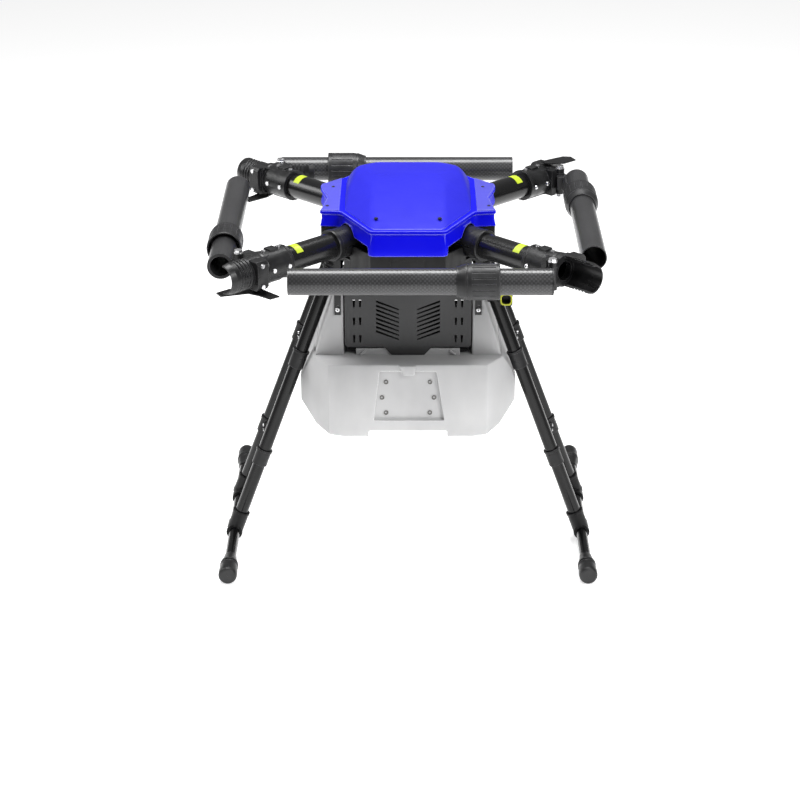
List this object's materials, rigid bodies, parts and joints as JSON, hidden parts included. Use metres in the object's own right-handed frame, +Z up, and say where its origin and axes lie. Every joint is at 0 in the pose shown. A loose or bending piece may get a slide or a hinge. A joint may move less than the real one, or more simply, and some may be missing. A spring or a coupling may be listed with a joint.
{
  "type": "agricultural spray drone frame",
  "caption": "Folding spray-drone frame: blue canopy on a carbon hub, pinned arms with split-thread lock nuts, saddle tank and skid landing gear.",
  "frame": {"origin": "on the ground, under the centre of the hub and of the whole folded frame", "axes": "+Z up; -Y is the front, where the tank's inserts face; +X is the drone's left-to-right, to the right when seen from the front"},
  "size_m": [0.7744, 0.7744, 0.745],
  "materials": {
    "carbon_tube": "woven carbon fibre under satin resin",
    "black_alloy": "black anodised casting, satin",
    "grey_alloy": "dark grey anodised, satin",
    "bolt_steel": "bright steel",
    "blue_shell": "gloss paint",
    "black_plastic": "fine moulded texture",
    "carbon_plate": "woven carbon plate",
    "tank_plastic": "milky translucent polyethylene",
    "cap_plastic": "moulded",
    "rubber_cap": "matt",
    "reflective_tape": "retroreflective strip",
    "circuit_board": "solder mask",
    "connector_yellow": "moulded",
    "insert_metal": "machined"
  },
  "bodies": {
    "frame": {"battery_front_plate": "carbon_plate", "battery_sill": "black_plastic", "battery_tray": "black_plastic", "canopy": "blue_shell", "canopy_screws": "black_alloy", "connector_rim": "connector_yellow", "coupler_bolts": "bolt_steel", "filler_neck": "tank_plastic", "fixed_joint_front_left": "black_alloy", "fixed_joint_front_right": "black_alloy", "fixed_joint_rear_left": "black_alloy", "fixed_joint_rear_right": "black_alloy", "front_cover": "black_plastic", "guide_plates": "black_plastic", "hinge_pins": "bolt_steel", "hub_lower_plate": "carbon_plate", "hub_upper_plate": "carbon_plate", "joint_screws": "bolt_steel", "leg_couplers": "black_alloy", "leg_sockets": "black_alloy", "leg_tees": "black_plastic", "leg_tube_front_left": "carbon_tube", "leg_tube_front_right": "carbon_tube", "leg_tube_rear_left": "carbon_tube", "leg_tube_rear_right": "carbon_tube", "power_board": "circuit_board", "power_connector": "black_plastic", "rear_cover": "black_plastic", "reflective_bands": "reflective_tape", "root_clamps": "black_alloy", "side_covers": "black_plastic", "skid_caps": "rubber_cap", "skid_left": "carbon_tube", "skid_right": "carbon_tube", "stub_tube_front_left": "carbon_tube", "stub_tube_front_right": "carbon_tube", "stub_tube_rear_left": "carbon_tube", "stub_tube_rear_right": "carbon_tube", "tank": "tank_plastic", "tank_brackets": "black_alloy", "tank_inserts": "insert_metal", "tank_outlet": "black_plastic", "tank_top": "tank_plastic"},
    "arm_front_left": {"arm_tube_front_left": "carbon_tube", "swing_joint_front_left": "grey_alloy"},
    "arm_front_right": {"arm_tube_front_right": "carbon_tube", "swing_joint_front_right": "grey_alloy"},
    "arm_rear_left": {"arm_tube_rear_left": "carbon_tube", "swing_joint_rear_left": "grey_alloy"},
    "arm_rear_right": {"arm_tube_rear_right": "carbon_tube", "swing_joint_rear_right": "grey_alloy"},
    "collar_front_left": {"collar_ring_front_left": "grey_alloy"},
    "collar_front_right": {"collar_ring_front_right": "grey_alloy"},
    "collar_rear_left": {"collar_ring_rear_left": "grey_alloy"},
    "collar_rear_right": {"collar_ring_rear_right": "grey_alloy"},
    "filler_cap": {"filler_cap": "cap_plastic"},
    "nut_front_left": {"lock_nut_front_left": "grey_alloy"},
    "nut_front_right": {"lock_nut_front_right": "grey_alloy"},
    "nut_rear_left": {"lock_nut_rear_left": "grey_alloy"},
    "nut_rear_right": {"lock_nut_rear_right": "grey_alloy"}
  },
  "joints": [
    {"name": "fold_front_right", "type": "hinge", "parent": "frame", "child": "arm_front_right", "pos_m": [0.2687, -0.3182, 0.656], "axis": [0, 0, 1], "range_deg": [0, 135]},
    {"name": "slide_front_right", "type": "slide", "parent": "arm_front_right", "child": "collar_front_right", "axis": [1, 0, 0], "range_m": [0, 0.076]},
    {"name": "turn_front_right", "type": "hinge", "parent": "collar_front_right", "child": "nut_front_right", "pos_m": [0.2687, -0.3532, 0.656], "axis": [1, 0, 0], "continuous": true},
    {"name": "fold_rear_right", "type": "hinge", "parent": "frame", "child": "arm_rear_right", "pos_m": [0.3182, 0.2687, 0.656], "axis": [0, 0, 1], "range_deg": [0, 135]},
    {"name": "slide_rear_right", "type": "slide", "parent": "arm_rear_right", "child": "collar_rear_right", "axis": [0, 1, 0], "range_m": [0, 0.076]},
    {"name": "turn_rear_right", "type": "hinge", "parent": "collar_rear_right", "child": "nut_rear_right", "pos_m": [0.3532, 0.2687, 0.656], "axis": [0, 1, 0], "continuous": true},
    {"name": "fold_rear_left", "type": "hinge", "parent": "frame", "child": "arm_rear_left", "pos_m": [-0.2687, 0.3182, 0.656], "axis": [0, 0, 1], "range_deg": [0, 135]},
    {"name": "slide_rear_left", "type": "slide", "parent": "arm_rear_left", "child": "collar_rear_left", "axis": [-1, 0, 0], "range_m": [0, 0.076]},
    {"name": "turn_rear_left", "type": "hinge", "parent": "collar_rear_left", "child": "nut_rear_left", "pos_m": [-0.2687, 0.3532, 0.656], "axis": [-1, 0, 0], "continuous": true},
    {"name": "fold_front_left", "type": "hinge", "parent": "frame", "child": "arm_front_left", "pos_m": [-0.3182, -0.2687, 0.656], "axis": [0, 0, 1], "range_deg": [0, 135]},
    {"name": "slide_front_left", "type": "slide", "parent": "arm_front_left", "child": "collar_front_left", "axis": [0, -1, 0], "range_m": [0, 0.076]},
    {"name": "turn_front_left", "type": "hinge", "parent": "collar_front_left", "child": "nut_front_left", "pos_m": [-0.3532, -0.2687, 0.656], "axis": [0, -1, 0], "continuous": true},
    {"name": "turn_filler_cap", "type": "hinge", "parent": "frame", "child": "filler_cap", "pos_m": [0, 0.092, 0.43], "axis": [0, 0, 1], "continuous": true}
  ]
}
